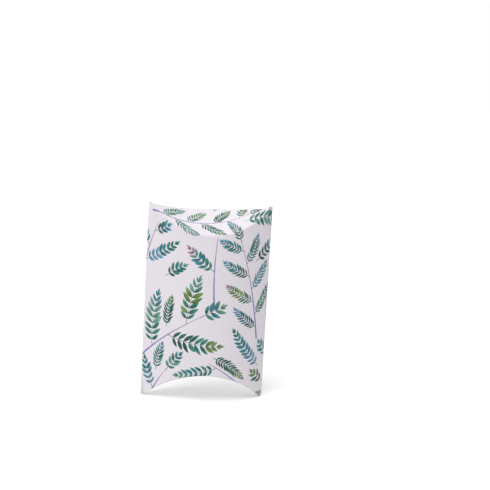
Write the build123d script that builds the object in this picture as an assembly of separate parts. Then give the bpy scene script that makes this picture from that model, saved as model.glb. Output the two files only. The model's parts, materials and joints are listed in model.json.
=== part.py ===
"""Pillow box folded from one die-cut, creased and printed card blank.

Millimetres, +Z up, +X to the right of the front panel, front facing -Y.
The origin is on the surface that the box stands on, midway between its side folds.
The box is a flat sleeve of two bowed panels, glued down one side, with two curved flaps at each end.
"""
from build123d import *

import os
from math import asin, cos, degrees, radians, sin, sqrt

# Driving sizes of the folded box
width = 63.0
height = 99.5
bulge = 13.2
end_rise = 13.8
corner_flat = 1.4
card = 0.4

# Flaps: depth from the crease at the middle, and what is left of it at the corners
flap_depth = 25.0
flap_corner_depth = 0.9
flap_corner_setback = 0.8
notch_radius = 10.5
notch_centre_out = 1.0
crease_gap = 0.38

# How far each flap leans out of the box at rest, in degrees, 0 being flush
top_outer_lean = 23.0
top_inner_lean = -25.0
bottom_outer_lean = 6.0
bottom_inner_lean = -30.0

# Manufacturer's glued seam, inside the back panel beside the right side fold
tab_width = 11.0
tab_corner_setback = 3.5
tab_taper = 9.5
glue_thickness = 0.12
glue_line_width = 6.0
glue_line_inset = 2.5
glue_line_end_setback = 16.0
seam_gap = 0.3

# One overrun serves every cut
overrun = 40.0

# Worked out: each panel is part of a cylinder, whose axis is this far behind the side folds
panel_radius = (width**2 / 4 + bulge**2) / (2 * bulge)
axis_offset = panel_radius - bulge
crease_half = width / 2 - corner_flat
corner_bow = sqrt(panel_radius**2 - crease_half**2) - axis_offset
crease_slope = end_rise / (bulge - corner_bow)


def bow(x):
    """How far the outer face of a panel stands out from the plane of the side folds."""
    return sqrt(panel_radius**2 - x**2) - axis_offset


def back_of(shape):
    """The same shape for the back panel."""
    return mirror(shape, Plane.XZ)


def bottom_of(shape):
    """The same end for the bottom of the box, which has its tips at the height of the origin."""
    return mirror(shape, Plane.XY)


def top_of(shape):
    """An end moved up to the top tips."""
    return Pos(0, 0, height) * shape


def mitre_side(shift):
    """The flap's side of the front crease of a top end whose tips are at height zero.

    The card is mitred at the crease: the cut runs inwards and down at 45 degrees from the outer face.
    At the plane of the side folds it's an ellipse, because the crease lies in a slanted plane.
    """
    semi_axis = (crease_slope + 1) * panel_radius
    centre = crease_slope * (corner_bow + axis_offset) + axis_offset
    reach = degrees(asin(width / (2 * panel_radius)))
    crease = EllipticalCenterArc((0, centre - shift), panel_radius, semi_axis, 270 - reach, arc_size=2 * reach)
    start = crease @ 0
    end = crease @ 1
    top = overrun
    edges = [
        crease,
        Line(end, (end.X, top)),
        Line((end.X, top), (start.X, top)),
        Line((start.X, top), start),
    ]
    outline = Plane.XZ * make_face(edges)
    slant = Vector(0, -1, 1)
    return extrude(outline, overrun, dir=slant) + extrude(outline, overrun, dir=-slant)


def panel():
    """The front panel: a bowed sheet between the side folds, mitred at its curved end creases."""
    ring = Circle(panel_radius) - Circle(panel_radius - card)
    front_of_folds = Pos(0, -overrun / 2) * Rectangle(width, overrun)
    sheet = extrude((Pos(0, axis_offset) * ring) & front_of_folds, height)
    top_cut = top_of(mitre_side(0))
    bottom_cut = bottom_of(mitre_side(0))
    return sheet - top_cut - bottom_cut


def flap(lean, notched):
    """A front flap of a top end whose tips are at height zero, leaning out by so many degrees."""
    angle = radians(lean)
    half = crease_half - flap_corner_setback
    crease_bow = bow(half)
    # Along the flap's straight lines, and square to them
    crease_fall = crease_slope * (crease_bow - corner_bow)
    corner_u = -crease_bow * cos(angle) - crease_fall * sin(angle)
    middle_u = -bulge * cos(angle) - end_rise * sin(angle)
    corner_n = crease_bow * sin(angle) - crease_fall * cos(angle)
    middle_n = bulge * sin(angle) - end_rise * cos(angle)
    sag = corner_n - middle_n
    radius = (half**2 + sag**2) / (2 * sag)
    centre_n = middle_n + radius
    grow = (radius + card) / radius

    def lower(x, n):
        return (x * grow, centre_n + (n - centre_n) * grow)

    upper = ThreePointArc((-half, corner_n), (0, middle_n), (half, corner_n))
    under = ThreePointArc(lower(half, corner_n), lower(0, middle_n), lower(-half, corner_n))
    section = make_face([upper, Line(upper @ 1, under @ 0), under, Line(under @ 1, upper @ 0)])
    along = Vector(0, cos(angle), sin(angle))
    outward = Vector(0, -sin(angle), cos(angle))
    across = Plane(origin=(0, 0, 0), x_dir=(1, 0, 0), z_dir=-along)
    sheet = extrude(across * section, overrun, both=True)

    edge_corner = corner_u + flap_corner_depth
    edge_middle = middle_u + flap_depth
    edge = ThreePointArc((-half, edge_corner), (0, edge_middle), (half, edge_corner))
    root = edge_corner - overrun
    outline = make_face([
        edge,
        Line((half, edge_corner), (half, root)),
        Line((half, root), (-half, root)),
        Line((-half, root), (-half, edge_corner)),
    ])
    if notched:
        outline -= Pos(0, edge_middle + notch_centre_out) * Circle(notch_radius)
    seen_from_outside = Plane(origin=(0, 0, 0), x_dir=(1, 0, 0), z_dir=outward)
    blank = extrude(seen_from_outside * outline, overrun, both=True)
    return sheet & blank & mitre_side(-crease_gap)


def inside_back(outer_radius, thickness):
    """A layer inside the back panel, running on to the front panel's inner face at the side folds."""
    ring = Circle(outer_radius) - Circle(outer_radius - thickness)
    inside_front = Pos(0, axis_offset) * Circle(panel_radius - card)
    return extrude((Pos(0, -axis_offset) * ring) & inside_front, height)


def along_seam(shell, near_fold, far_from_fold, end_setback, taper):
    """A strip of a layer beside the right side fold, with its ends cut at a slant."""
    fold = width / 2
    outline = make_face(Polyline(
        (fold - near_fold, end_setback),
        (fold - far_from_fold, end_setback + taper),
        (fold - far_from_fold, height - end_setback - taper),
        (fold - near_fold, height - end_setback),
        close=True,
    ))
    return shell & extrude(Plane.XZ * outline, overrun, both=True)


def front_panel():
    return panel()


def back_panel():
    """The same sheet behind, whose cut edge stops just short of the right side fold."""
    seam = Pos(width / 2, 0, height / 2) * Box(width, 2 * seam_gap, height)
    return back_of(panel()) - seam


def glue_tab():
    """A strip folded off the front panel's right edge and lying inside the back panel."""
    layer = inside_back(panel_radius - card - glue_thickness, card)
    return along_seam(layer, 0, tab_width, tab_corner_setback, tab_taper)


def glue_strip():
    """The line of glue between the tab and the back panel."""
    layer = inside_back(panel_radius - card, glue_thickness)
    far = glue_line_inset + glue_line_width
    return along_seam(layer, glue_line_inset, far, glue_line_end_setback, 0)


def top_outer_flap():
    return top_of(flap(top_outer_lean, False))


def top_inner_flap():
    return top_of(back_of(flap(top_inner_lean, True)))


def bottom_outer_flap():
    return bottom_of(flap(bottom_outer_lean, True))


def bottom_inner_flap():
    return Rot(180, 0, 0) * flap(bottom_inner_lean, False)


pieces = {
    "front_panel": front_panel,
    "back_panel": back_panel,
    "glue_tab": glue_tab,
    "glue_strip": glue_strip,
    "top_outer_flap": top_outer_flap,
    "top_inner_flap": top_inner_flap,
    "bottom_outer_flap": bottom_outer_flap,
    "bottom_inner_flap": bottom_inner_flap,
}

os.makedirs("parts", exist_ok=True)
for name, make in pieces.items():
    shape = make()
    box = shape.bounding_box()
    print(f"{name}: {len(shape.solids())} solid, {shape.volume:.1f} mm3, {box.min} to {box.max}")
    export_step(shape, f"parts/{name}.step")
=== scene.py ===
"""Printed pillow box: the looks of one small box folded from a creased card blank.

The print is drawn once on the flat blank, in millimetres, and folded with it, so that a leaf runs on
across a crease or a side fold as it does on the real card.
"""

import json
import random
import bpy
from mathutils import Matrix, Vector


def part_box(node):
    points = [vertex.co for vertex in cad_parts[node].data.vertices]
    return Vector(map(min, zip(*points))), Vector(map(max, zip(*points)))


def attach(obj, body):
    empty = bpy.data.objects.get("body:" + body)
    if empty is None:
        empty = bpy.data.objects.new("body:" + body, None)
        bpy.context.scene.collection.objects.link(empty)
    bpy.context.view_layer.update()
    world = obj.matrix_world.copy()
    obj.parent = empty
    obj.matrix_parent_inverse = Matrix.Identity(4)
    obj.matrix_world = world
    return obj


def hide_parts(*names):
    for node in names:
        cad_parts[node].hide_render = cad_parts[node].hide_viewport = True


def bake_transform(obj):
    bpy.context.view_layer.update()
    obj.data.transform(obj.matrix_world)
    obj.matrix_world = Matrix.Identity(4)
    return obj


bl_info = {
    "name": "Pillow box",
    "version": (1, 0, 0),
    "blender": (4, 5, 0),
    "location": "View3D > Sidebar > Pillow box",
    "description": "Dresses a folded pillow box in printed card and sets it on a pale stage",
    "category": "Object",
}

from collections import namedtuple
from functools import partial
from itertools import cycle
from math import asin, atan2, cos, inf, pi, radians, sin, sqrt

import bpy
import numpy as np
from bpy.props import FloatProperty, FloatVectorProperty, IntProperty, PointerProperty
from mathutils import Quaternion, Vector
from mathutils.geometry import delaunay_2d_cdt

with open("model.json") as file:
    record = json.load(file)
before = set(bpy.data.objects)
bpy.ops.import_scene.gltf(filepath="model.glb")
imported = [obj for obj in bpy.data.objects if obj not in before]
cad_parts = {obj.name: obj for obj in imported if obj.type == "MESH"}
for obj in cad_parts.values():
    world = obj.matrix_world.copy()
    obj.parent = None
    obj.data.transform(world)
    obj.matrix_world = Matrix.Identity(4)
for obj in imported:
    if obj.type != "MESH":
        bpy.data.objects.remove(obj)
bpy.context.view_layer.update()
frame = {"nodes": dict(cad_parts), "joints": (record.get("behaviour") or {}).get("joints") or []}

MM = 0.001
FRONT_LOW, FRONT_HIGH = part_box("front_panel")


# Units and colours


def mm(length):
    """A length in metres as millimetres."""
    return length / MM


def linear(colour):
    """An sRGB hex colour as linear red, green and blue."""
    parts = [int(colour[i : i + 2], 16) / 255 for i in (1, 3, 5)]
    return tuple(p / 12.92 if p <= 0.04045 else ((p + 0.055) / 1.055) ** 2.4 for p in parts)


def in_hex(name, description, colour):
    """A colour that is given as sRGB hex."""
    return FloatVectorProperty(
        name=name, description=description, default=linear(colour), size=3, subtype="COLOR", min=0, max=1
    )


def in_mm(name, description, millimetres):
    """A length that is given in millimetres."""
    return FloatProperty(
        name=name, description=description, default=millimetres * MM, unit="LENGTH", precision=5, min=0
    )


def in_degrees(name, description, degrees):
    """An angle that is given in degrees."""
    return FloatProperty(name=name, description=description, default=radians(degrees), unit="ROTATION")


class BoxSizes(bpy.types.PropertyGroup):
    """Sizes of the folded box and its flaps."""

    width: in_mm("Width", "Between the two side folds", mm(FRONT_HIGH.x - FRONT_LOW.x))
    height: in_mm("Height", "Of the sleeve at its side folds", mm(FRONT_HIGH.z - FRONT_LOW.z))
    bulge: in_mm("Bulge", "How far a panel bows out of the plane of the folds", mm(-FRONT_LOW.y))
    end_rise: in_mm("End rise", "How far the curved crease dips at its middle", 13.8)
    corner_flat: in_mm("Corner flat", "Cut edge between the crease and the side fold", 1.4)
    card: in_mm("Card", "Thickness of the board", 0.4)
    flap_depth: in_mm("Flap depth", "From the crease to the free edge at the middle", 25)
    flap_corner_depth: in_mm("Flap corner depth", "The same at the flap's corners", 0.9)
    flap_setback: in_mm("Flap setback", "From the crease's tip to the flap's corner", 0.8)
    notch_radius: in_mm("Notch radius", "Of the thumb notch", 10.5)
    notch_out: in_mm("Notch centre", "How far it lies beyond the flap's edge", 1)
    bend: in_mm("Bend", "Length of card that the bend of a crease takes up each way", 0.8)
    fold_bend: in_mm("Fold bend", "The same at a side fold", 0.45)
    top_outer_lean: in_degrees("Top outer lean", "How far the top outer flap stands open", 23)
    top_inner_lean: in_degrees("Top inner lean", "How far the top inner flap leans in", -25)
    bottom_outer_lean: in_degrees("Bottom outer lean", "How far the lower outer flap stands open", 6)
    bottom_inner_lean: in_degrees("Bottom inner lean", "How far the lower inner flap leans in", -30)


class SeamSizes(bpy.types.PropertyGroup):
    """Sizes of the glued seam inside the back panel."""

    tab_width: in_mm("Tab width", "From the right side fold", 11)
    corner_setback: in_mm("Corner setback", "Of the tab's ends at the fold", 3.5)
    taper: in_mm("Taper", "How much shorter the tab is at its free edge, at each end", 9.5)
    glue: in_mm("Glue", "Thickness of the line of glue", 0.12)
    gap: in_mm("Gap", "Between the back panel's cut edge and the fold", 0.3)


class CardColours(bpy.types.PropertyGroup):
    """Colours of the board and of the print's inks."""

    coated: in_hex("Coated face", "Printed side of the board", "#ECE5ED")
    reverse: in_hex("Reverse", "Unprinted side of the board", "#F1EEEC")
    cut: in_hex("Cut edge", "Bare fibre at a cut edge or a worn crease", "#E9E3E0")
    glue: in_hex("Glue", "Dried glue in the seam", "#EDE6CF")
    twig: in_hex("Twig", "Thin end of a twig", "#B9A0BE")
    twig_base: in_hex("Twig base", "Thick end of a twig", "#6E78C8")


class PrintSizes(bpy.types.PropertyGroup):
    """Sizes of the leaf print."""

    repeat_across: in_mm("Repeat across", "Width of the print's repeat", 88)
    repeat_up: in_mm("Repeat up", "Height of the print's repeat", 104)
    mesh_step: in_mm("Mesh step", "Between the mesh lines that follow the bow of the card", 1.5)
    seed: IntProperty(name="Seed", description="Which leaves vary in which way", default=19, min=0)


class StageSizes(bpy.types.PropertyGroup):
    """Floor, lights and camera."""

    floor: in_mm("Floor", "Width of the floor", 6000)
    lens: FloatProperty(name="Lens", description="Focal length on a 36 mm sensor", default=84.25, min=1)
    distance: in_mm("Distance", "From the box to the camera", 585.3)
    azimuth: in_degrees("Azimuth", "Of the camera round the box", -6.04)
    elevation: in_degrees("Elevation", "Of the camera above the box", 12.93)
    roll: in_degrees("Roll", "Of the camera about its own axis", 3.37)


# The folded blank

# Within about this many millimetres of its middle, a crease turns the card gradually
CREASE_SOFTNESS = 0.6
# Towards a crease's tips, its bend takes up no more than this share of the way left to them
BEND_SHARE = 0.6
# Where mesh lines run beside a side fold, as shares of its bend
FOLD_LINES = (-1, -0.7, -0.45, -0.2, 0, 0.2, 0.45, 0.7, 1)
# How close mesh lines and the points of an outline may come, and what is too small to matter
CLOSEST_LINES = 0.08
CLOSEST_POINTS = 0.1
HAIR = 1e-6
# Points along a flap's crease, its free edge and its thumb notch
CREASE_POINTS = 41
EDGE_POINTS = 61
NOTCH_POINTS = 33


class FoldedBlank:
    """Where each point of the flat blank lies on the folded box, in millimetres.

    Across runs round the sleeve from the middle of the front, and up runs along its height.
    The back lies to the left of the front, across the left side fold, and the seam tab to its right.
    """

    def __init__(self, sizes, seam):
        self.card = mm(sizes.card)
        self.height = mm(sizes.height)
        self.bulge = mm(sizes.bulge)
        self.bend = mm(sizes.bend)
        self.fold_bend = mm(sizes.fold_bend)
        self.sizes = sizes
        half = mm(sizes.width) / 2
        self.radius = (half**2 + self.bulge**2) / (2 * self.bulge)
        self.axis = self.radius - self.bulge
        self.reach = self.radius * asin(half / self.radius)
        self.crease_half = half - mm(sizes.corner_flat)
        self.corner_bow = self.bow(self.crease_half)
        self.end_rise = mm(sizes.end_rise)
        self.crease_slope = self.end_rise / (self.bulge - self.corner_bow)
        self.tab_radius = self.radius - self.card - mm(seam.glue)
        fold_y = (self.radius**2 - self.tab_radius**2) / (4 * self.axis)
        fold_x = sqrt(self.radius**2 - (self.axis + fold_y) ** 2)
        self.seam_fold = self.radius * asin(fold_x / self.radius)
        self.tab_turn = asin(fold_x / self.tab_radius)

    def bow(self, x):
        """How far a panel stands out of the plane of the side folds."""
        return np.sqrt(self.radius**2 - np.square(x)) - self.axis

    def sharp_plan(self, across):
        """The sleeve seen from above, with sharp side folds."""
        behind = across < -self.reach
        turn = np.where(behind, -2 * self.reach - across, across) / self.radius
        x = self.radius * np.sin(turn)
        y = (self.radius * np.cos(turn) - self.axis) * np.where(behind, 1, -1)
        tab_turn = self.tab_turn - (across - self.seam_fold) / self.tab_radius
        on_tab = across > self.seam_fold
        x = np.where(on_tab, self.tab_radius * np.sin(tab_turn), x)
        y = np.where(on_tab, self.tab_radius * np.cos(tab_turn) - self.axis, y)
        return np.stack([x, y], -1)

    def plan(self, across):
        """The same with each side fold rounded as bent card is."""
        points = self.sharp_plan(across)
        for fold in (-self.reach, self.seam_fold):
            t = np.clip((1 + (across - fold) / self.fold_bend) / 2, 0, 1)[..., None]
            ends = self.sharp_plan(np.array([fold - self.fold_bend, fold, fold + self.fold_bend]))
            bent = (1 - t) ** 2 * ends[0] + 2 * t * (1 - t) * ends[1] + t**2 * ends[2]
            points = np.where(np.abs(across - fold)[..., None] < self.fold_bend, bent, points)
        return points

    def crease_rise(self, across):
        """How far the curved crease dips below the sleeve's tips."""
        y = self.sharp_plan(across)[..., 1]
        return self.crease_slope * np.clip(np.abs(y) - self.corner_bow, 0, None)

    def bend_length(self, across):
        """How much card the bend of a crease takes up each way: less towards its tips."""
        x = np.abs(self.sharp_plan(across)[..., 0])
        return np.clip((self.crease_half - x) * BEND_SHARE, HAIR, self.bend)

    def past_crease(self, across, up):
        """For the nearest flap: which way is inward, whether it is at the top, how far past its crease
        a point is, and how far the flap leans.
        """
        s = self.sizes
        behind = across < -self.reach
        at_top = up > self.height / 2
        rise = self.crease_rise(across)
        past = np.where(at_top, up - (self.height - rise), rise - up)
        lean = np.where(
            at_top,
            np.where(behind, s.top_inner_lean, s.top_outer_lean),
            np.where(behind, s.bottom_inner_lean, s.bottom_outer_lean),
        )
        return np.where(behind, -1, 1), at_top, past, lean

    def place(self, across, up):
        """The outer face of the card."""
        across, up = np.broadcast_arrays(np.asarray(across, float), np.asarray(up, float))
        plan = self.plan(across)
        side, at_top, past, lean = self.past_crease(across, up)
        rise = self.crease_rise(across)
        bend = self.bend_length(across)
        t = np.clip((1 + past / bend) / 2, 0, 1)
        run = np.where(past < -bend, past, -bend * (1 - t) ** 2)
        out = np.where(past > bend, past, bend * t**2)
        x = plan[..., 0]
        y = plan[..., 1] + side * out * np.cos(lean)
        along = run + out * np.sin(lean)
        z = np.where(at_top, self.height - rise + along, rise - along)
        return np.stack([x, y, z], -1)

    def turn_share(self, across, up):
        """How much of its flap's turn a point takes when the flap opens into line with its panel.

        The crease is curved, and the flap's body turns about its middle only. Card turns as a whole there,
        and less the nearer a point is to the crease's tips, where the flap stays joined to the panel.
        """
        side, at_top, past, lean = self.past_crease(across, up)
        places = self.place(across, up)
        inward = side * places[:, 1] + self.bulge
        ends = np.where(at_top, places[:, 2] - self.height, -places[:, 2]) + self.end_rise
        along = inward * np.cos(lean) + ends * np.sin(lean)
        reach = np.square(inward) + np.square(ends) + CREASE_SOFTNESS**2
        return np.clip(past * along / reach, 0, 1)

    def slip(self, across, up, turn):
        """How far the inner face lies towards the flap's edge, so that opened card is as thick."""
        side, at_top, past, lean = self.past_crease(across, up)
        left = (1 - self.turn_share(across, up)) * turn / 2
        length = self.card * np.tan(left) * np.clip(past / self.bend_length(across), 0, 1)
        inward = side * np.cos(lean) * length
        ends = np.where(at_top, 1, -1) * np.sin(lean) * length
        return np.stack([np.zeros(len(length)), inward, ends], -1)

    def normal(self, across, up, step=0.01):
        """Which way the outer face looks."""
        a = self.place(across + step, up) - self.place(across - step, up)
        b = self.place(across, up + step) - self.place(across, up - step)
        n = np.cross(a, b)
        return n / np.linalg.norm(n, axis=-1, keepdims=True)

    def lines_across(self, low, high, step):
        """Where mesh lines run along the height: evenly, and closely at a side fold."""
        count = max(2, int(round((high - low) / step)))
        lines = list(np.linspace(low, high, count + 1))
        for fold in (-self.reach, self.seam_fold):
            lines += [fold + share * self.fold_bend for share in FOLD_LINES]
        lines = sorted(line for line in lines if low - HAIR <= line <= high + HAIR)
        kept = [lines[0]]
        for line in lines[1:]:
            if line - kept[-1] > CLOSEST_LINES:
                kept.append(line)
        kept[-1] = high
        return np.array(kept)

    def sleeve_outline(self, lines, rise):
        """The outline of a part of the sleeve, whose ends lie a rise inside the box's two ends."""
        bottom = np.stack([lines, rise], -1)
        top = np.stack([lines, self.height - rise], -1)
        return np.concatenate([bottom, top[::-1]])

    def flap_outline(self, middle, lean, at_top, notched):
        """The outline of a flap on the flat blank. Middle is where the panel's middle lies across."""
        s = self.sizes
        half = self.crease_half - mm(s.flap_setback)
        crease_x = np.linspace(half, -half, CREASE_POINTS)

        def crease_depth(x):
            bow = self.bow(x)
            return -bow * cos(lean) - self.crease_slope * (bow - self.corner_bow) * sin(lean)

        corner = crease_depth(half) + mm(s.flap_corner_depth)
        top = crease_depth(0) + mm(s.flap_depth)
        radius = (half**2 + (top - corner) ** 2) / (2 * (top - corner))
        x = np.linspace(-half, half, EDGE_POINTS)
        edge = np.stack([x, top - radius + np.sqrt(radius**2 - x**2)], -1)
        if notched:
            notch = mm(s.notch_radius)
            centre = top + mm(s.notch_out)
            span = centre - (top - radius)
            meet = (radius**2 - notch**2 + span**2) / (2 * span) + top - radius
            meet_x = sqrt(notch**2 - (meet - centre) ** 2)
            start = atan2(meet - centre, -meet_x) % (2 * pi)
            turns = np.linspace(start, 3 * pi - start, NOTCH_POINTS)
            cut = np.stack([notch * np.cos(turns), centre + notch * np.sin(turns)], -1)
            left = edge[edge[:, 0] < -meet_x - CLOSEST_POINTS]
            edge = np.concatenate([left, cut, left[::-1] * [-1, 1]])
        depth = edge[:, 1] - crease_depth(edge[:, 0])
        rows_x = np.concatenate([crease_x, edge[:, 0]])
        rows_depth = np.concatenate([np.zeros(len(crease_x)), depth])
        turn = self.radius * np.arcsin(rows_x / self.radius)
        across = middle + (-turn if middle < 0 else turn)
        rise = self.crease_rise(across)
        up = self.height - rise + rows_depth if at_top else rise - rows_depth
        outline = np.stack([across, up], -1)
        # Anticlockwise on the sheet, as the triangulation needs it
        after = np.roll(outline, -1, 0)
        area = np.sum(outline[:, 0] * after[:, 1] - after[:, 0] * outline[:, 1])
        return outline if area > 0 else outline[::-1]


# The leaf print

# Ink pairs of a watercolour leaf, from the leaflet's base to its tip
INKS = {
    "deep green": ("#0C5545", "#2F8E74"),
    "teal": ("#0E5E64", "#379A9A"),
    "blue teal": ("#1F7088", "#63AEC0"),
    "sage": ("#2C7A60", "#76B69A"),
    "olive": ("#37682F", "#80A856"),
    "dark": ("#093B33", "#19634F"),
    "rose": ("#835D78", "#C599B0"),
}

# Inks that follow each other from a leaf's base to its tip
WASHES = [
    ("deep green", "teal", "sage"),
    ("teal", "deep green", "blue teal"),
    ("dark", "deep green", "olive"),
    ("blue teal", "teal", "deep green"),
    ("deep green", "sage", "teal"),
    ("deep green", "olive", "sage"),
    ("dark", "teal", "blue teal"),
]

# Share of leaves with a rose tip, and of leaflets with a neighbour's ink
ROSE_TIPS = 0.2
STRAY_LEAFLETS = 0.22
# Powers of an ink's colour that its depth varies between, and the deepest for a leaflet's base
WASH_DEPTHS = (0.95, 1.55)
DEEPEST_BASE = 1.25
# How much lighter the middle of a brush mark is than its edge, where wet ink gathers
LIGHTER_MIDDLE = 0.16

# Leaflet length, leaflet width, space between pairs, how far leaflets open from the midrib in degrees
LEAF_KINDS = {
    "broad": (6.4, 2.2, 2.7, 62),
    "middling": (4.7, 1.8, 2.25, 60),
    "fine": (4.4, 1.15, 1.5, 55),
}

# Twigs of one repeat: across, up, heading in degrees clockwise from up, length, bend in degrees, kind,
# leaf length, space between leaves
TWIGS = [
    (28, 32, -8, 52, -12, "fine", 19, 7),
    (-36, 20, 44, 40, 18, "broad", 32, 11),
    (22, 5, -44, 26, -18, "middling", 30, 8.5),
    (-32, 96, 94, 52, -20, "fine", 17, 7),
    (-38, 56, 8, 36, 16, "middling", 26, 9),
    (38, -6, -8, 34, 16, "middling", 28, 9),
    (3, 48, -6, 38, 12, "middling", 26, 7),
    (-30, -1, 22, 19, 16, "middling", 24, 7.5),
]

# A brush stroke's width at both ends, in mm, and the room that a twig keeps on each side
TWIG_STROKE = (0.95, 0.3)
MIDRIB_STROKE = (0.34, 0.16)
TWIG_ROOM = 0.5
# Steps along a twig, along a leaflet, and along a leaf that is tried for room
TWIG_STEPS = 24
LEAFLET_STEPS = 6
TRIAL_STEPS = 6

# How far a twig's leaves turn away from it and bend back, in degrees, and how much shorter the last one is
LEAF_TURNS = (46, 58)
LEAF_BENDS = (8, 24)
SHORTER_LAST_LEAF = 0.3
# The leaf at a twig's end: its share of the other leaves' length and of the twig's bend
END_LEAF_LENGTH = 0.85
END_LEAF_BEND = 0.4

# Shares of its length that a leaf is tried at where room is short, and the share that bears leaflets
SHORTER = (1, 0.86, 0.72, 0.6, 0.5)
LEAFED = 0.9
FEWEST_PAIRS = 4
# How much of a leaf's width others keep clear of, and how far two may still overlap
CLEAR_WIDTH = 0.9
CROWDING = 0.75
# How much smaller a leaf's first and last pairs are, and how many degrees less the last one opens
SMALLER_FIRST = 0.22
SMALLER_LAST = 0.52
NARROWER_LAST = 26
# How many steps the last pair sits back from an even spacing, and where the tip's ink starts
LAST_PAIR_BACK = 1.5
TIP_STARTS = 0.8
# The leaflet at the tip: its share of the others' length and width
TIP_LEAFLET = (0.55, 0.5)
# Powers in a leaflet's outline, for where it is widest and how full it is, and its curl in degrees
LEAFLET_SKEW = 0.85
LEAFLET_FULLNESS = 0.8
LEAFLET_CURL = 20
# How much these vary, as shares of themselves, and how far a leaflet sways, in degrees
LENGTH_VARIES = 0.08
LEAFLET_VARIES = 0.1
WIDTH_VARIES = 0.14
CURL_VARIES = 0.4
SWAY = 5

# Single leaves in what the twigs leave bare: tries and lengths, long ones first, and their bend in degrees
FILLS = ((1000, (22, 34)), (1400, (10, 20)))
FILL_BEND = 15
# Their half width as a share of a leaflet's length, and how far they may overlap others: at first, in mm,
# and then as crowding
FILL_REACH = 0.85
FILL_OVERLAP = 3
FILL_CROWDING = 0.65

# An ink shape on the flat blank. Its two inks run from its base to its tip
Shape = namedtuple("Shape", "outline middle base tip width inks")


def heading_step(heading):
    """A step of one length on the flat blank, along a heading clockwise from up."""
    return np.array([sin(radians(heading)), cos(radians(heading))])


def steps_aside(headings):
    """Steps of one length to the right of each heading."""
    return np.array([heading_step(heading + 90) for heading in headings])


def curve(start, heading, length, bend, count):
    """Points and headings along a line that turns evenly by the bend."""
    headings = heading + bend * np.arange(count + 1) / count
    points = [np.array(start, float)]
    for before, after in zip(headings[:-1], headings[1:]):
        points.append(points[-1] + heading_step((before + after) / 2) * length / count)
    return np.array(points), headings


def spot_on(points, headings, steps):
    """The point and the heading some steps along a curve."""
    low = min(int(steps), len(points) - 2)
    return points[low] + (points[low + 1] - points[low]) * (steps - low), headings[low]


def moved(shape, step):
    """The same shape in another repeat."""
    places = {part: getattr(shape, part) + step for part in ("outline", "middle", "base", "tip")}
    return shape._replace(**places)


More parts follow.
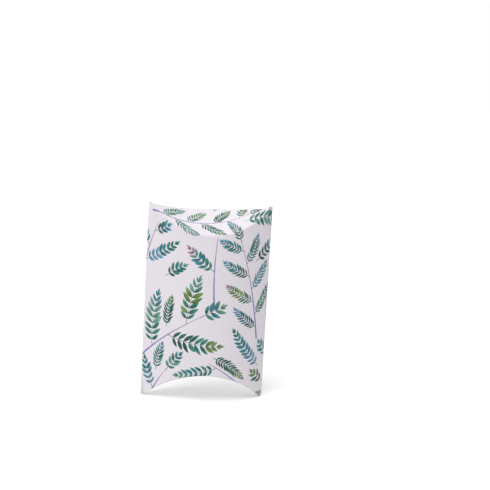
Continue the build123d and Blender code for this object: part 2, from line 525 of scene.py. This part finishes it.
class LeafPrint:
    """The ink shapes of the whole blank.

    One repeat is drawn, with its leaves kept apart, and stepped over the blank in a half drop.
    """

    def __init__(self, colours, sizes):
        self.random = random.Random(sizes.seed)
        self.twig = (np.array(colours.twig_base), np.array(colours.twig))
        self.inks = {name: [np.array(linear(c)) for c in pair] for name, pair in INKS.items()}
        self.repeat = np.array([mm(sizes.repeat_across), mm(sizes.repeat_up)])
        self.around = [self.step(column, row) for column in (-1, 0, 1) for row in (-2, -1, 0, 1, 2)]
        # Points that leaves keep clear of: across, up, half width. Those of the twig in hand wait
        self.taken = np.zeros((0, 3))
        self.waiting = []
        self.drawn = []
        for entry in TWIGS:
            self.add_twig(*entry)
        self.fill()
        self.shapes = []
        # The back lies to the left of the front, so most repeats are on that side
        for column in range(-4, 2):
            for row in range(4):
                step = self.step(column, row - 1 - column // 2)
                self.shapes += [moved(shape, step) for shape in self.drawn]

    def step(self, column, row):
        """How far a repeat lies from the first one. Each column is shifted by half a repeat."""
        return self.repeat * [column, row + column / 2]

    def vary(self, value, share):
        return value * (1 + self.random.uniform(-share, share))

    def room(self, points, reach):
        """The least room between a leaf's middle line and the leaves already drawn, in all repeats."""
        least = inf
        for step in self.around:
            gaps = np.linalg.norm(points[:, None] + step - self.taken[None, :, :2], axis=-1)
            least = min(least, (gaps - self.taken[None, :, 2] - reach).min(initial=inf))
        return least

    def settle(self, *stems):
        """Later leaves keep clear of the ones just drawn, which may touch each other."""
        self.taken = np.concatenate([self.taken, *stems, *self.waiting])
        self.waiting = []

    def add_stroke(self, points, headings, stroke, inks):
        """A tapering brush stroke along a curve."""
        sides = steps_aside(headings) * (np.linspace(*stroke, len(points))[:, None] / 2)
        outline = np.concatenate([points + sides, (points - sides)[::-1]])
        self.drawn.append(Shape(outline, points[:0], points[0], points[-1], stroke[0], inks))

    def add_leaflet(self, base, heading, length, width, curl, inks):
        """One pointed leaflet, widest before its middle and curled towards the leaf's tip."""
        middle, headings = curve(base, heading, length, curl, LEAFLET_STEPS)
        shares = np.linspace(0, 1, LEAFLET_STEPS + 1)
        fullness = np.sin(pi * shares**LEAFLET_SKEW) ** LEAFLET_FULLNESS * width / 2
        sides = steps_aside(headings) * fullness[:, None]
        outline = np.concatenate([middle + sides, (middle - sides)[-2:0:-1]])
        self.drawn.append(Shape(outline, middle[1:-1], middle[0], middle[-1], width, inks))

    def add_leaf(self, start, heading, length, bend, kind, crowding=CROWDING):
        """A midrib with pairs of leaflets and one at its tip. False where there is no room for it."""
        leaflet, width, space, open_angle = LEAF_KINDS[kind]
        length = self.vary(length, LENGTH_VARIES)
        wash = self.random.choice(WASHES)
        tip_ink = "rose" if self.random.random() < ROSE_TIPS else wash[2]
        reach = leaflet * sin(radians(open_angle))
        for shorter in SHORTER:
            count = max(FEWEST_PAIRS, int(length * shorter * LEAFED / space))
            points, headings = curve(start, heading, length * shorter, bend * shorter, count * 2)
            # Its first points lie on its own twig, so they don't count
            if self.room(points[3:], reach * CLEAR_WIDTH) > -reach * crowding:
                break
        else:
            return False
        self.waiting.append(np.column_stack([points[2:], np.full(len(points) - 2, reach * CLEAR_WIDTH)]))
        self.add_stroke(points[:-1], headings[:-1], MIDRIB_STROKE, self.inks[wash[1]])
        for pair in range(count):
            share = pair / (count - 1)
            # Pairs sit on every second step of the midrib, and all of them before the tip's leaflet
            steps = min(pair * 2 + 2 - share * LAST_PAIR_BACK, len(points) - 2.01)
            where, along = spot_on(points, headings, steps)
            size = 1 - SMALLER_FIRST * (1 - share) ** 6 - SMALLER_LAST * share**4
            for side in (-1, 1):
                name = wash[min(2, int(share * 3))]
                if self.random.random() < STRAY_LEAFLETS:
                    name = self.random.choice(wash[:2])
                if share > TIP_STARTS:
                    name = tip_ink
                turn = side * (open_angle - NARROWER_LAST * share**2 + self.random.uniform(-SWAY, SWAY))
                self.add_leaflet(
                    where,
                    along + turn,
                    self.vary(leaflet * size, LEAFLET_VARIES),
                    self.vary(width * size, WIDTH_VARIES),
                    -side * self.vary(LEAFLET_CURL, CURL_VARIES),
                    self.washed(name),
                )
        tip_length, tip_width = leaflet * TIP_LEAFLET[0], width * TIP_LEAFLET[1]
        self.add_leaflet(points[-2], headings[-1], tip_length, tip_width, 0, self.washed(tip_ink))
        return True

    def washed(self, name):
        """An ink pair as wet or dry as the brush left it."""
        base, tip = self.inks[name]
        depth = self.random.uniform(*WASH_DEPTHS)
        return [base ** min(DEEPEST_BASE, depth), tip**depth]

    def add_twig(self, across, up, heading, length, bend, kind, leaf_length, space):
        """A twig with leaves on alternate sides and one at its end."""
        points, headings = curve((across, up), heading, length, bend, TWIG_STEPS)
        self.add_stroke(points, headings, TWIG_STROKE, self.twig)
        end_length = leaf_length * END_LEAF_LENGTH
        self.add_leaf(points[-1], headings[-1], end_length, bend * END_LEAF_BEND, kind)
        count = int(length / space)
        for number in range(count):
            # Evenly spaced, the first a little less than a space up the twig and the last clear of its end
            share = (number + 0.9) / (count + 0.6)
            where, along = spot_on(points, headings, share * TWIG_STEPS)
            side = 1 if number % 2 else -1
            turn = side * self.random.uniform(*LEAF_TURNS)
            size = leaf_length * (1 - SHORTER_LAST_LEAF * share)
            self.add_leaf(where, along + turn, size, -side * self.random.uniform(*LEAF_BENDS), kind)
        self.settle(np.column_stack([points, np.full(len(points), TWIG_ROOM)]))

    def fill(self):
        """Single leaves wherever the repeat is still bare."""
        lengths = [span for tries, span in FILLS for _ in range(tries)]
        for span, kind in zip(lengths, cycle(("middling", "broad", "fine"))):
            place = self.repeat * [self.random.random(), self.random.random()]
            heading = self.random.uniform(-180, 180)
            length = self.random.uniform(*span)
            points, _ = curve(place, heading, length, FILL_BEND, TRIAL_STEPS)
            reach = LEAF_KINDS[kind][0] * FILL_REACH
            # The middle point alone rules most places out, which is quicker
            if any(self.room(some, reach) < -FILL_OVERLAP for some in (points[3:4], points)):
                continue
            if self.add_leaf(place, heading, length, FILL_BEND, kind, FILL_CROWDING):
                self.settle()


# Card meshes

# For the triangulation: only triangles inside the outlines, and points this close in mm are one
INSIDE_ONLY = 1
SAME_POINT = 1e-4
# A crease whose bend is narrower than this isn't worn
NARROWEST_WORN = 0.05


def cut_up(outline, lines, shapes):
    """Triangles that fill the outline, split along the mesh lines and the ink shapes."""
    points, edges, faces = [], [], []

    def add_points(some):
        first = len(points)
        points.extend(Vector((float(p[0]), float(p[1]))) for p in some)
        return list(range(first, len(points)))

    def add_line(line):
        spots = add_points(line)
        edges.extend(zip(spots[:-1], spots[1:]))

    faces.append(add_points(outline))
    for line in lines:
        add_line(line)
    for shape in shapes:
        faces.append(add_points(shape.outline))
        add_line(shape.middle)
    out, _, triangles, _, _, inside = delaunay_2d_cdt(points, edges, faces, INSIDE_ONLY, SAME_POINT)
    flat = np.array([tuple(p) for p in out])
    kept, owners = [], []
    for triangle, owner in zip(triangles, inside):
        if 0 not in owner:
            continue
        a, b, c = flat[list(triangle)]
        area = (b[0] - a[0]) * (c[1] - a[1]) - (b[1] - a[1]) * (c[0] - a[0])
        kept.append(tuple(triangle) if area > 0 else tuple(triangle)[::-1])
        owners.append([n - 1 for n in owner if n > 0])
    used = sorted({corner for triangle in kept for corner in triangle})
    number = {old: new for new, old in enumerate(used)}
    kept = np.array([[number[corner] for corner in triangle] for triangle in kept])
    return flat[used], kept, owners


def rim(triangles):
    """The boundary of a patch of triangles as one closed run of points."""
    sides = {side: True for a, b, c in triangles.tolist() for side in ((a, b), (b, c), (c, a))}
    after = {start: end for start, end in sides if (end, start) not in sides}
    first = next(iter(after))
    run = [first]
    while after[run[-1]] != first:
        run.append(after[run[-1]])
    if len(run) != len(after):
        raise RuntimeError("the card's outline isn't one closed run")
    return run


def ink_colours(flat, triangles, owners, shapes):
    """The ink at each corner of each triangle. Where shapes overlap, their inks darken each other."""
    colours = np.ones((len(triangles), 3, 3))
    pairs = [(row, owner) for row, some in enumerate(owners) for owner in some]
    if not pairs:
        return colours
    rows, owned = np.array(pairs).T
    base, tip, width = (
        np.array([getattr(shape, part) for shape in shapes])[owned][:, None]
        for part in ("base", "tip", "width")
    )
    inks = np.array([shape.inks for shape in shapes])[owned]
    spots = flat[triangles[rows]]
    length = np.linalg.norm(tip - base, axis=-1)
    along = (tip - base) / length[..., None]
    share = np.clip(np.sum((spots - base) * along, -1) / length, 0, 1)
    aside = np.abs(np.sum((spots - base) * along[..., ::-1] * [1, -1], -1))
    edge = np.clip(aside / (width / 2), 0, 1)
    ink = inks[:, None, 0] + (inks[:, None, 1] - inks[:, None, 0]) * share[..., None]
    ink = ink ** (1 - LIGHTER_MIDDLE * (1 - edge))[..., None]
    for row, value in zip(rows, ink):
        colours[row] *= value
    return colours


def card_piece(name, blank, outline, lines, shapes, materials, turn=0.0):
    """A closed piece of card: printed outer face, plain inner face and cut edges.

    The turn is how far it opens. The piece comes with where its points lie on the flat blank.
    """
    low, high = outline.min(0), outline.max(0)
    near = [s for s in shapes if np.all(s.outline.max(0) > low) and np.all(s.outline.min(0) < high)]
    flat, triangles, owners = cut_up(outline, lines, near)
    boundary = rim(triangles)

    # Both faces have the same points, so that they stay apart wherever the card bends
    outer = blank.place(flat[:, 0], flat[:, 1])
    facing = blank.normal(flat[:, 0], flat[:, 1])
    inner = outer - facing * blank.card + blank.slip(flat[:, 0], flat[:, 1], turn)
    count = len(outer)
    under = triangles[:, ::-1]
    faces = triangles.tolist() + (under + count).tolist()
    for a, b in zip(boundary, boundary[1:] + boundary[:1]):
        faces.append([b, a, count + a, count + b])

    mesh = bpy.data.meshes.new(name)
    mesh.from_pydata((np.concatenate([outer, inner]) * MM).tolist(), [], faces)
    slots = np.repeat([0, 1, 2], [len(triangles), len(triangles), len(boundary)])
    mesh.polygons.foreach_set("material_index", slots.astype(np.int32))
    mesh.polygons.foreach_set("use_smooth", np.ones(len(slots), bool))
    for material in materials:
        mesh.materials.append(material)

    corners = len(mesh.loops)
    ink = np.ones((corners, 4), np.float32)
    ink[: len(triangles) * 3, :3] = ink_colours(flat, triangles, owners, near).reshape(-1, 3)
    mesh.attributes.new("ink", "FLOAT_COLOR", "CORNER").data.foreach_set("color", ink.ravel())
    sheet = np.concatenate([flat, flat])
    on_sheet = np.column_stack([sheet, np.zeros(len(sheet))]).astype(np.float32)
    mesh.attributes.new("sheet_mm", "FLOAT_VECTOR", "POINT").data.foreach_set("vector", on_sheet.ravel())
    worn = crease_wear(blank, sheet).astype(np.float32)
    mesh.attributes.new("worn", "FLOAT", "POINT").data.foreach_set("value", worn)

    cut_edges = [polygon.normal for polygon in mesh.polygons[len(triangles) * 2 :]]
    normals = [facing[triangles.ravel()], -facing[under.ravel()], np.repeat(cut_edges, 4, axis=0)]
    mesh.normals_split_custom_set(np.concatenate(normals).tolist())
    piece = bpy.data.objects.new(name, mesh)
    bpy.context.scene.collection.objects.link(piece)
    return piece, sheet


def crease_wear(blank, sheet):
    """How worn the card is, from 0 to 1 on a crease or a side fold."""
    across, up = sheet[:, 0], sheet[:, 1]
    rise = blank.crease_rise(across)
    gap = np.minimum(np.abs(up - rise), np.abs(blank.height - rise - up))
    gap = np.where(blank.bend_length(across) > NARROWEST_WORN, gap, blank.bend)
    for fold in (-blank.reach, blank.seam_fold):
        gap = np.minimum(gap, np.abs(across - fold))
    return np.clip(1 - gap / blank.bend, 0, 1)


def crease_lines(blank, lines, shares):
    """Mesh lines beside the curved creases, at shares of the bend into the panel."""
    rise = blank.crease_rise(lines)
    bend = blank.bend_length(lines)
    rows = []
    for share in shares:
        rows.append(np.stack([lines, rise + bend * share], -1))
        rows.append(np.stack([lines, blank.height - rise - bend * share], -1))
    return rows


def upright_lines(lines, low, high):
    return [np.array([[line, low], [line, high]]) for line in lines]


# Materials

# How many millimetres across each feature of the board and the print is
BLOOM = 2.6
PIGMENT = 0.55
CLOUD = 9.0
RUBBED_SPECK = 0.7
SILK_PATCH = 1.4
BOARD_WAVE = 14.0
REVERSE_CLOUD = 6.0
CRUSHED_EDGE = 0.8
GLUE_RIPPLE = 1.6
# Board fibre is about 0.03 mm thick: it is drawn this coarse so that a render of the whole box shows it
COATED_FIBRE = 0.5
REVERSE_FIBRE = 0.6

# How much higher the board's slow waves are than its fibre
WAVE_HEIGHT = 9.0
# Power that gathers the rubbed specks closer to a crease
RUBBED_CLOSE = 2.0
# How strongly the floor shines by itself, so that the camera sees it as white
FLOOR_GLOW = 0.35

# Settings of a node that mixes two colours, and the values that a noise mostly lies between
MIX = {"data_type": "RGBA"}
NOISE_SPREAD = {"From_Min": 0.3, "From_Max": 0.7}


def add_node(tree, kind, settings=None, **inputs):
    """Adds a shader node with its settings, and sets or links its inputs.

    An input goes by its name, or by its number after an underscore where its name repeats. A node given
    as an input stands for its own first output in use.
    """
    node = tree.nodes.new(f"ShaderNode{kind}")
    for name, value in (settings or {}).items():
        setattr(node, name, value)
    for name, value in inputs.items():
        if name[0] == "_":
            socket = node.inputs[int(name[1:])]
        else:
            socket = next(s for s in node.inputs if s.enabled and s.name == name.replace("_", " "))
        if isinstance(value, bpy.types.Node):
            value = next(output for output in value.outputs if output.enabled)
        if isinstance(value, bpy.types.NodeSocket):
            tree.links.new(value, socket)
        else:
            socket.default_value = value
    return node


def finished(name, finish, *settings):
    """The material of this name, made once.

    Its finish gets add_node with the tree already given, and returns the shader node.
    """
    material = bpy.data.materials.get(name)
    if material is None:
        material = bpy.data.materials.new(name)
        material.use_nodes = True
        material.node_tree.nodes.clear()
        add = partial(add_node, material.node_tree)
        add("OutputMaterial", Surface=finish(add, *settings))
    return material


def opaque(colour, shade=1.0):
    """A colour as a node takes it, and darker by the shade."""
    return (*[part * shade for part in colour], 1.0)


def shades(colour, shade):
    """A colour and a darker one, for a node to mix."""
    return {"A": opaque(colour), "B": opaque(colour, shade)}


def printed_board(add, colours):
    """Coated folding boxboard, offset printed.

    The coating is smooth with a low silk sheen, and shows the board's fibre only as a faint mottle.
    """
    sheet = add("Attribute", {"attribute_name": "sheet_mm"}).outputs["Vector"]
    ink = add("Attribute", {"attribute_name": "ink"}).outputs["Color"]
    worn = add("Attribute", {"attribute_name": "worn"}).outputs["Fac"]

    # Watercolour blooms, printed as part of each leaf: a thinner wash is the same ink to a lower power
    bloom = add("TexNoise", Vector=sheet, Scale=1 / BLOOM, Detail=4, Roughness=0.6)
    share = add("MapRange", Value=bloom, From_Min=0.4, From_Max=0.66)
    thin = add("Gamma", Color=ink, Gamma=0.7)
    washed = add("Mix", MIX, Factor=share, A=ink, B=thin)

    # Grains of pigment, which leave the ink between them thinner
    grain = add("TexNoise", Vector=sheet, Scale=1 / PIGMENT, Detail=2)
    share = add("MapRange", Value=grain, From_Min=0.35, From_Max=0.7, To_Max=0.6)
    thin = add("Gamma", Color=washed, Gamma=0.78)
    print_ink = add("Mix", MIX, Factor=share, A=washed, B=thin)

    # Cloudiness of the board, seen through its coating
    cloud = add("TexNoise", Vector=sheet, Scale=1 / CLOUD, Detail=3)
    share = add("MapRange", Value=cloud, **NOISE_SPREAD, To_Max=0.05)
    board = add("Mix", MIX, Factor=share, **shades(colours.coated, 0.8))
    over_board = {**MIX, "blend_type": "MULTIPLY"}
    printed = add("Mix", over_board, Factor=1.0, A=board, B=print_ink)

    # Coating rubbed off in specks along the creases, where the card is stretched most
    speck = add("TexNoise", Vector=sheet, Scale=1 / RUBBED_SPECK, Detail=3, Roughness=0.7)
    rubbed = add("MapRange", Value=speck, From_Min=0.42, From_Max=0.62, To_Min=0.15, To_Max=0.8)
    stretched = add("Math", {"operation": "POWER"}, _0=worn, _1=RUBBED_CLOSE)
    bare = add("Math", {"operation": "MULTIPLY"}, _0=stretched, _1=rubbed)
    colour = add("Mix", MIX, Factor=bare, A=printed, B=opaque(colours.cut))

    silk = add("TexNoise", Vector=sheet, Scale=1 / SILK_PATCH, Detail=3)
    sheen = add("MapRange", Value=silk, **NOISE_SPREAD, To_Min=0.4, To_Max=0.5)
    fibre = add("TexNoise", Vector=sheet, Scale=1 / COATED_FIBRE, Detail=3)
    wave = add("TexNoise", Vector=sheet, Scale=1 / BOARD_WAVE, Detail=1)
    height = add("Math", {"operation": "MULTIPLY_ADD"}, _0=wave, _1=WAVE_HEIGHT, _2=fibre)
    bump = add("Bump", Height=height, Strength=0.35, Distance=0.02 * MM)
    surface = {"Base_Color": colour, "Roughness": sheen, "Normal": bump}
    return add("BsdfPrincipled", IOR=1.5, Specular_IOR_Level=0.4, **surface)


def plain_board(add, colours):
    """Uncoated reverse of the board: dull, slightly warm, with visible fibre."""
    sheet = add("Attribute", {"attribute_name": "sheet_mm"}).outputs["Vector"]
    fibre = add("TexNoise", Vector=sheet, Scale=1 / REVERSE_FIBRE, Detail=4, Roughness=0.65)
    cloud = add("TexNoise", Vector=sheet, Scale=1 / REVERSE_CLOUD, Detail=3)
    bundles = add("MapRange", Value=fibre, **NOISE_SPREAD)
    density = add("MapRange", Value=cloud, **NOISE_SPREAD, To_Min=0.06, To_Max=0.16)
    share = add("Math", {"operation": "MULTIPLY"}, _0=bundles, _1=density)
    colour = add("Mix", MIX, Factor=share, **shades(colours.reverse, 0.72))
    dullness = add("MapRange", Value=bundles, To_Min=0.78, To_Max=0.9)
    bump = add("Bump", Height=fibre, Strength=0.5, Distance=0.03 * MM)
    surface = {"Base_Color": colour, "Roughness": dullness, "Normal": bump}
    return add("BsdfPrincipled", IOR=1.5, Specular_IOR_Level=0.25, **surface)


def cut_board(add, colours):
    """Die-cut edge of the board: bare crushed fibre, duller and a little darker than its faces."""
    sheet = add("Attribute", {"attribute_name": "sheet_mm"}).outputs["Vector"]
    crushed = add("TexNoise", Vector=sheet, Scale=1 / CRUSHED_EDGE, Detail=4, Roughness=0.7)
    share = add("MapRange", Value=crushed, **NOISE_SPREAD, To_Max=0.3)
    colour = add("Mix", MIX, Factor=share, **shades(colours.cut, 0.7))
    dullness = add("MapRange", Value=crushed, To_Min=0.85, To_Max=0.95)
    return add("BsdfPrincipled", IOR=1.5, Specular_IOR_Level=0.2, Base_Color=colour, Roughness=dullness)


def dried_glue(add, colours):
    """Dried white glue: clear, faintly yellow, with the ripple that a roller leaves."""
    place = add("TexCoord").outputs["Object"]
    ripple = add("TexNoise", Vector=place, Scale=1 / (GLUE_RIPPLE * MM), Detail=3)
    share = add("MapRange", Value=ripple, **NOISE_SPREAD, To_Max=0.3)
    colour = add("Mix", MIX, Factor=share, **shades(colours.glue, 0.8))
    gloss = add("MapRange", Value=ripple, To_Min=0.25, To_Max=0.45)
    bump = add("Bump", Height=ripple, Strength=0.4, Distance=0.05 * MM)
    return add("BsdfPrincipled", Base_Color=colour, Roughness=gloss, Normal=bump, IOR=1.48)


def board_materials(colours):
    """The finishes of the board's printed face, its reverse and its cut edges."""
    finishes = {
        "coated folding boxboard, offset printed": printed_board,
        "uncoated board reverse": plain_board,
        "die-cut board edge": cut_board,
    }
    return [finished(name, finish, colours) for name, finish in finishes.items()]


def background_rays(add):
    """1 for rays that see the background: from the camera, mirrored by a piece or let through by one."""
    path = add("LightPath").outputs
    seen, mirrored, let_through = (path[f"Is {kind} Ray"] for kind in ("Camera", "Glossy", "Transmission"))
    both = add("Math", {"operation": "MAXIMUM"}, _0=seen, _1=mirrored)
    return add("Math", {"operation": "MAXIMUM"}, _0=both, _1=let_through)


def pale_floor(add):
    """Matt pale paper roll, which the camera sees as white where no shadow falls."""
    pale = opaque(linear("#E6E6E6"))
    paper = add("BsdfPrincipled", Base_Color=pale, Roughness=0.9, Specular_IOR_Level=0.1)
    rays = background_rays(add)
    strength = add("Math", {"operation": "MULTIPLY"}, _0=rays, _1=FLOOR_GLOW)
    lift = add("Emission", Color=opaque((1, 1, 1)), Strength=strength)
    return add("AddShader", _0=paper, _1=lift)


def studio_world(name):
    """Soft light from all sides, behind a background that looks white."""
    world = bpy.data.worlds.new(name)
    world.use_nodes = True
    world.node_tree.nodes.clear()
    add = partial(add_node, world.node_tree)
    strength = add("MapRange", Value=background_rays(add), To_Min=0.4, To_Max=1.0)
    add("OutputWorld", Surface=add("Background", Color=opaque((1, 1, 1)), Strength=strength))
    return world


# Operators

# The flaps, and whether each has a thumb notch
FLAPS = {"top_outer": False, "top_inner": True, "bottom_outer": True, "bottom_inner": False}
# How far mesh lines run past what they cut up, in mm
OVERRUN = 1
# Mesh lines beside a curved crease, as shares of its bend into the panel, and over a flap's depth
CREASE_ROWS = (0.25, 0.5, 0.75, 1)
FLAP_ROWS = np.arange(0.1, 1, 0.08)
# Where the camera looks, in mm: the box stands left of and below the middle of the frame
AIM = (18.25, 0, 79.36)
# Lamps: azimuth from the front to the right, elevation, strength, spread in degrees
LAMPS = {
    "key": (-46, 60, 1.68, 40),
    "fill": (0, 32, 0.3, 60),
    "back": (165, 38, 0.55, 60),
}

DRAWN = {}


def leaf_shapes(colours, sizes):
    """The print's shapes, drawn again only when a setting has changed."""
    key = (sizes.repeat_across, sizes.repeat_up, sizes.seed, *colours.twig, *colours.twig_base)
    if key not in DRAWN:
        DRAWN[key] = LeafPrint(colours, sizes).shapes
    return DRAWN[key]


def read_settings(context):
    """The folded blank, the print's shapes, the board's finishes and the mesh step."""
    scene = context.scene
    blank = FoldedBlank(scene.pillow_box, scene.pillow_seam)
    shapes = leaf_shapes(scene.pillow_colours, scene.pillow_print)
    return blank, shapes, board_materials(scene.pillow_colours), mm(scene.pillow_print.mesh_step)


class PILLOW_OT_sleeve(bpy.types.Operator):
    """Make the sleeve: bowed front and back with the glued seam between them"""

    bl_idname = "pillow.sleeve"
    bl_label = "Sleeve"

    def execute(self, context):
        blank, shapes, materials, step = read_settings(context)
        seam = context.scene.pillow_seam
        back_edge = -3 * blank.reach + mm(seam.gap)
        tab_edge = blank.seam_fold + mm(seam.tab_width)
        spans = {
            "front_card": ("front_panel", -blank.reach, blank.seam_fold),
            "back_card": ("back_panel", back_edge, -blank.reach),
            "seam_tab_card": ("glue_tab", blank.seam_fold, tab_edge),
        }
        for name, (node, low, high) in spans.items():
            lines = blank.lines_across(low, high, step)
            mesh_lines = upright_lines(lines, -OVERRUN, blank.height + OVERRUN)
            if name == "seam_tab_card":
                rise = mm(seam.corner_setback) + (lines - low) / mm(seam.tab_width) * mm(seam.taper)
            else:
                rise = blank.crease_rise(lines)
                mesh_lines += crease_lines(blank, lines, CREASE_ROWS)
            outline = blank.sleeve_outline(lines, rise)
            piece, _ = card_piece(name, blank, outline, mesh_lines, shapes, materials)
            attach(piece, "sleeve")
            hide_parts(node)
        return {"FINISHED"}


class PILLOW_OT_seam_glue(bpy.types.Operator):
    """Give the line of glue in the seam its finish"""

    bl_idname = "pillow.seam_glue"
    bl_label = "Seam glue"

    def execute(self, context):
        strip = frame["nodes"]["glue_strip"]
        strip.data.materials.clear()
        strip.data.materials.append(finished("dried white glue", dried_glue, context.scene.pillow_colours))
        return {"FINISHED"}


def even_step(share):
    """Where a smooth step from 0 to 1 reaches a share."""
    return 0.5 - np.sin(np.arcsin(np.clip(1 - 2 * share, -1, 1)) / 3)


def make_flap(context, name, notched):
    """A flap, the outer one on the front and the inner one on the back, bent along its curved crease."""
    blank, shapes, materials, step = read_settings(context)
    at_top = name.startswith("top")
    middle = 0 if name.endswith("outer") else -2 * blank.reach
    lean = getattr(blank.sizes, f"{name}_lean")
    outline = blank.flap_outline(middle, lean, at_top, notched)
    low, high = outline[:, 0].min(), outline[:, 0].max()
    lines = blank.lines_across(low, high, step)
    depth = mm(blank.sizes.flap_depth)
    mesh_lines = upright_lines(lines, -depth, blank.height + depth)
    mesh_lines += crease_lines(blank, lines, [-share for share in CREASE_ROWS])
    rise = blank.crease_rise(lines)
    for share in FLAP_ROWS:
        up = blank.height - rise + share * depth if at_top else rise - share * depth
        mesh_lines.append(np.stack([lines, up], -1))
    fold = next(joint for joint in frame["joints"] if joint["name"] == f"{name}_fold")
    turn = radians(max(fold["range_deg"]))
    piece, sheet = card_piece(f"{name}_flap_card", blank, outline, mesh_lines, shapes, materials, turn)
    share = blank.turn_share(sheet[:, 0], sheet[:, 1])
    # For a moment the points lie between start and end at their share of the flap's turn, then go back
    points = piece.data.vertices
    placed = np.zeros(len(points) * 3, np.float32)
    points.foreach_get("co", placed)
    ladder = np.column_stack([np.zeros((len(points), 2)), even_step(share)]).astype(np.float32)
    points.foreach_set("co", ladder.ravel())
    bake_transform(piece)
    points.foreach_set("co", placed)
    piece.data.update()
    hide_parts(f"{name}_flap")


class PILLOW_OT_flaps(bpy.types.Operator):
    """Make the two flaps of each end"""

    bl_idname = "pillow.flaps"
    bl_label = "Flaps"

    def execute(self, context):
        for name, notched in FLAPS.items():
            make_flap(context, name, notched)
        return {"FINISHED"}


def direction(azimuth, elevation):
    """A direction as seen from the box. Azimuth runs from the front to the right."""
    return Vector((sin(azimuth) * cos(elevation), -cos(azimuth) * cos(elevation), sin(elevation)))


def add_sun(name, azimuth, elevation, strength, spread):
    """A soft white lamp far away, so that the floor is lit evenly."""
    lamp = bpy.data.lights.new(name, "SUN")
    lamp.energy = strength
    lamp.angle = radians(spread)
    light = bpy.data.objects.new(name, lamp)
    light.rotation_mode = "QUATERNION"
    light.rotation_quaternion = direction(radians(azimuth), radians(elevation)).to_track_quat("Z", "Y")
    bpy.context.scene.collection.objects.link(light)


class PILLOW_OT_stage(bpy.types.Operator):
    """Make the pale floor, the lights and the camera"""

    bl_idname = "pillow.stage"
    bl_label = "Stage"

    def execute(self, context):
        scene = context.scene
        stage = scene.pillow_stage
        half = stage.floor / 2
        mesh = bpy.data.meshes.new("floor")
        corners = [(-half, -half, 0), (half, -half, 0), (half, half, 0), (-half, half, 0)]
        mesh.from_pydata(corners, [], [(0, 1, 2, 3)])
        floor = bpy.data.objects.new("floor", mesh)
        scene.collection.objects.link(floor)
        mesh.materials.append(finished("pale matt floor", pale_floor))
        scene.world = studio_world("studio")

        for name, setting in LAMPS.items():
            add_sun(name, *setting)

        centre = Vector((0, 0, scene.pillow_box.height / 2))
        camera = bpy.data.objects.new("camera", bpy.data.cameras.new("camera"))
        camera.data.lens = stage.lens
        camera.data.sensor_width = 36
        camera.location = centre + direction(stage.azimuth, stage.elevation) * stage.distance
        look = (camera.location - Vector(AIM) * MM).to_track_quat("Z", "Y")
        camera.rotation_mode = "QUATERNION"
        camera.rotation_quaternion = look @ Quaternion((0, 0, 1), stage.roll)
        scene.collection.objects.link(camera)
        scene.camera = camera
        scene.view_settings.view_transform = "Standard"
        return {"FINISHED"}


OPERATORS = (
    PILLOW_OT_sleeve,
    PILLOW_OT_seam_glue,
    PILLOW_OT_flaps,
    PILLOW_OT_stage,
)

GROUPS = {
    "pillow_box": BoxSizes,
    "pillow_seam": SeamSizes,
    "pillow_colours": CardColours,
    "pillow_print": PrintSizes,
    "pillow_stage": StageSizes,
}


class PILLOW_PT_panel(bpy.types.Panel):
    """Sizes, colours and steps of the pillow box."""

    bl_idname = "PILLOW_PT_panel"
    bl_label = "Pillow box"
    bl_space_type = "VIEW_3D"
    bl_region_type = "UI"
    bl_category = "Pillow box"

    def draw(self, context):
        for group, kind in GROUPS.items():
            box = self.layout.box()
            for name in kind.__annotations__:
                box.prop(getattr(context.scene, group), name)
        for operator in OPERATORS:
            self.layout.operator(operator.bl_idname)


def register():
    for kind in (*GROUPS.values(), *OPERATORS, PILLOW_PT_panel):
        bpy.utils.register_class(kind)
    for name, kind in GROUPS.items():
        setattr(bpy.types.Scene, name, PointerProperty(type=kind))


def unregister():
    for name in GROUPS:
        delattr(bpy.types.Scene, name)
    for kind in reversed((*GROUPS.values(), *OPERATORS, PILLOW_PT_panel)):
        bpy.utils.unregister_class(kind)


def main():
    register()
    bpy.ops.pillow.sleeve()
    bpy.ops.pillow.seam_glue()
    bpy.ops.pillow.flaps()
    bpy.ops.pillow.stage()


if __name__ == "__main__":
    main()
